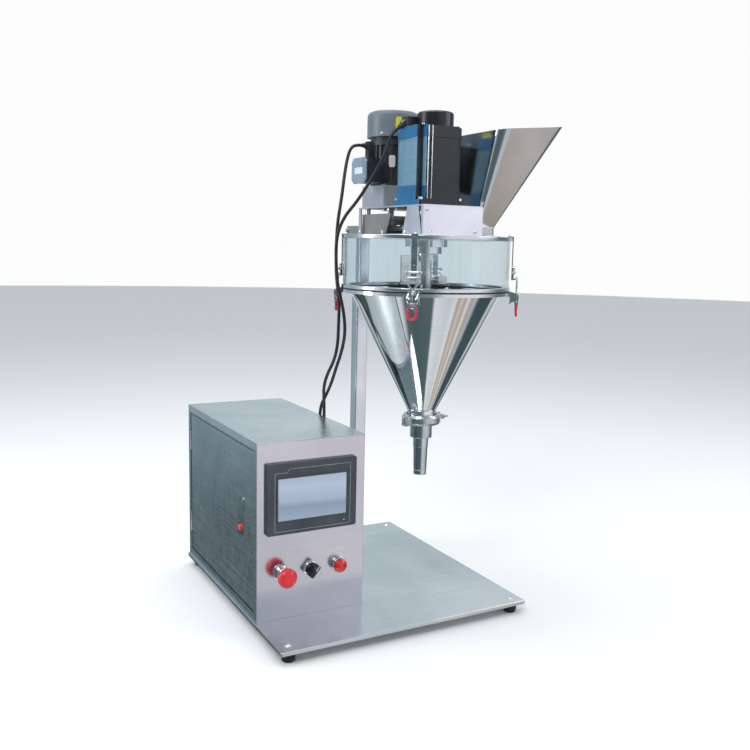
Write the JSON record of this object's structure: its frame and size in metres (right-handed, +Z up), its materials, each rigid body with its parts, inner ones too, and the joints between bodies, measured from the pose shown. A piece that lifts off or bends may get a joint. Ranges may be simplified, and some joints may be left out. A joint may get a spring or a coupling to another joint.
{
  "type": "auger powder filler",
  "caption": "Bench-top auger filler: clear hopper and steel cone, screw driven from above, geared agitator, feed funnel, side cabinet with touch panel and buttons.",
  "frame": {"origin": "middle of the machine's outer box at the floor, under the feet", "axes": "+Z up, +Y from the button side towards the back, +X from the cabinet towards the feed funnel"},
  "size_m": [0.699, 0.59, 1.068],
  "materials": {
    "stainless_sheet": "satin brushed sheet",
    "stainless_polished": "mirror polished",
    "stand_steel": "satin",
    "cast_stainless": "cast and tumbled",
    "fastener_steel": "satin",
    "shaft_steel": "ground",
    "acrylic": "clear",
    "black_rubber": "matt",
    "cable_jacket": "semi-matt",
    "black_plastic": "moulded",
    "button_chrome": "polished",
    "red_plastic": "gloss",
    "hmi_black": "fine texture",
    "hmi_glass": "gloss",
    "servo_black": "painted",
    "motor_grey": "painted",
    "fan_plastic": "moulded",
    "drive_housing": "moulded"
  },
  "bodies": {
    "frame": {"agitator_cable": "cable_jacket", "base_fasteners": "fastener_steel", "base_plate": "stainless_sheet", "button_collars": "button_chrome", "cabinet_body": "stainless_sheet", "cabinet_front_panel": "stainless_sheet", "cabinet_top_cover": "stainless_sheet", "cable_glands": "black_plastic", "clamp_halves": "cast_stainless", "column": "stainless_polished", "column_bracket": "stand_steel", "contact_blocks": "black_plastic", "control_gear": "drive_housing", "door_hinges": "fastener_steel", "drive_chain": "shaft_steel", "fan_cover": "motor_grey", "feed_funnel": "stainless_polished", "filling_tube": "stainless_polished", "gearbox": "motor_grey", "gearmotor_stator": "motor_grey", "head_fasteners": "fastener_steel", "hmi_bezel": "hmi_black", "hmi_screen": "hmi_glass", "hopper_cone": "stainless_polished", "hopper_gaskets": "black_rubber", "hopper_lid": "stainless_sheet", "latch_fixings": "cast_stainless", "power_inlet": "black_plastic", "rubber_feet": "black_rubber", "servo_cable": "cable_jacket", "servo_motor": "servo_black", "sight_cylinder": "acrylic", "stand_front_panel": "stand_steel", "stand_side_plates": "stand_steel", "stand_top_plate": "stand_steel", "terminal_box": "black_plastic", "upper_flange": "stainless_polished"},
    "auger": {"auger": "stainless_polished", "servo_shaft_coupling": "shaft_steel"},
    "agitator": {"agitator": "stainless_polished", "driven_sprocket": "shaft_steel"},
    "gearbox_output": {"drive_sprocket": "shaft_steel"},
    "fan": {"motor_fan": "fan_plastic"},
    "door": {"side_door": "stainless_sheet", "door_lock": "button_chrome"},
    "lock_button": {"lock_button": "red_plastic"},
    "estop_stem": {"estop_stem": "button_chrome"},
    "estop_head": {"estop_head": "red_plastic"},
    "selector_knob": {"selector_knob": "black_plastic"},
    "push_button": {"push_button_cap": "red_plastic"},
    "clamp_bolt": {"clamp_eye_bolt": "cast_stainless"},
    "wing_nut": {"clamp_wing_nut": "cast_stainless"},
    "latch_lever_1": {"latch_lever_1": "cast_stainless"},
    "latch_bail_1": {"latch_bail_1": "cast_stainless"},
    "latch_lever_2": {"latch_lever_2": "cast_stainless"},
    "latch_bail_2": {"latch_bail_2": "cast_stainless"},
    "latch_lever_3": {"latch_lever_3": "cast_stainless"},
    "latch_bail_3": {"latch_bail_3": "cast_stainless"},
    "latch_lever_4": {"latch_lever_4": "cast_stainless"},
    "latch_bail_4": {"latch_bail_4": "cast_stainless"}
  },
  "joints": [
    {"name": "auger_spin", "type": "hinge", "parent": "frame", "child": "auger", "pos_m": [0.0715, -0.077, 0.628], "axis": [0, 0, 1], "continuous": true},
    {"name": "agitator_spin", "type": "hinge", "parent": "frame", "child": "agitator", "pos_m": [0.0715, -0.077, 0.668], "axis": [0, 0, 1], "continuous": true},
    {"name": "gearbox_output_spin", "type": "hinge", "parent": "frame", "child": "gearbox_output", "pos_m": [0.0715, 0.081, 0.818], "axis": [0, 0, 1], "continuous": true},
    {"name": "fan_spin", "type": "hinge", "parent": "frame", "child": "fan", "pos_m": [0.0715, 0.081, 1.028], "axis": [0, 0, 1], "continuous": true},
    {"name": "door_swing", "type": "hinge", "parent": "frame", "child": "door", "pos_m": [-0.3413, 0.282, 0.208], "axis": [0, 0, -1], "range_deg": [0, 95]},
    {"name": "lock_button_press", "type": "slide", "parent": "door", "child": "lock_button", "axis": [1, 0, 0], "range_m": [0, 0.0025], "stiffness_N_per_m": 250},
    {"name": "estop_press", "type": "slide", "parent": "frame", "child": "estop_stem", "axis": [0, 1, 0], "range_m": [0, 0.005]},
    {"name": "estop_twist", "type": "hinge", "parent": "estop_stem", "child": "estop_head", "pos_m": [-0.294, -0.185, 0.125], "axis": [0, -1, 0], "range_deg": [0, 45], "stiffness_Nm_per_rad": 0.05},
    {"name": "selector_turn", "type": "hinge", "parent": "frame", "child": "selector_knob", "pos_m": [-0.231, -0.175, 0.125], "axis": [0, 1, 0], "range_deg": [-90, 0]},
    {"name": "push_button_press", "type": "slide", "parent": "frame", "child": "push_button", "axis": [0, 1, 0], "range_m": [0, 0.004], "stiffness_N_per_m": 300},
    {"name": "clamp_bolt_swing", "type": "hinge", "parent": "frame", "child": "clamp_bolt", "pos_m": [0.11929, -0.05579, 0.3945], "axis": [0, 0, 1], "range_deg": [0, 80]},
    {"name": "wing_nut_turn", "type": "hinge", "parent": "clamp_bolt", "child": "wing_nut", "pos_m": [0.11929, -0.05579, 0.3945], "axis": [0.309, -0.9511, 0], "continuous": true},
    {"name": "latch_1_lever", "type": "hinge", "parent": "frame", "child": "latch_lever_1", "pos_m": [-0.05248, -0.2301, 0.668], "axis": [-0.7771, 0.6293, 0], "range_deg": [0, 150]},
    {"name": "latch_1_bail", "type": "hinge", "parent": "latch_lever_1", "child": "latch_bail_1", "pos_m": [-0.05097, -0.22823, 0.6585], "axis": [-0.7771, 0.6293, 0], "range_deg": [-150, 0]},
    {"name": "latch_2_lever", "type": "hinge", "parent": "frame", "child": "latch_lever_2", "pos_m": [0.2246, -0.20098, 0.668], "axis": [-0.6293, -0.7771, 0], "range_deg": [0, 150]},
    {"name": "latch_2_bail", "type": "hinge", "parent": "latch_lever_2", "child": "latch_bail_2", "pos_m": [0.22273, -0.19947, 0.6585], "axis": [-0.6293, -0.7771, 0], "range_deg": [-150, 0]},
    {"name": "latch_3_lever", "type": "hinge", "parent": "frame", "child": "latch_lever_3", "pos_m": [0.19548, 0.0761, 0.668], "axis": [0.7771, -0.6293, 0], "range_deg": [0, 150]},
    {"name": "latch_3_bail", "type": "hinge", "parent": "latch_lever_3", "child": "latch_bail_3", "pos_m": [0.19397, 0.07423, 0.6585], "axis": [0.7771, -0.6293, 0], "range_deg": [-150, 0]},
    {"name": "latch_4_lever", "type": "hinge", "parent": "frame", "child": "latch_lever_4", "pos_m": [-0.0816, 0.04698, 0.668], "axis": [0.6293, 0.7771, 0], "range_deg": [0, 150]},
    {"name": "latch_4_bail", "type": "hinge", "parent": "latch_lever_4", "child": "latch_bail_4", "pos_m": [-0.07973, 0.04547, 0.6585], "axis": [0.6293, 0.7771, 0], "range_deg": [-150, 0]}
  ],
  "couplings": [
    {"joint": "gearbox_output_spin", "follows": "agitator_spin", "ratio": 1.6},
    {"joint": "fan_spin", "follows": "agitator_spin", "ratio": 10},
    {"joint": "latch_1_bail", "follows": "latch_1_lever", "ratio": -1},
    {"joint": "latch_2_bail", "follows": "latch_2_lever", "ratio": -1},
    {"joint": "latch_3_bail", "follows": "latch_3_lever", "ratio": -1},
    {"joint": "latch_4_bail", "follows": "latch_4_lever", "ratio": -1}
  ]
}
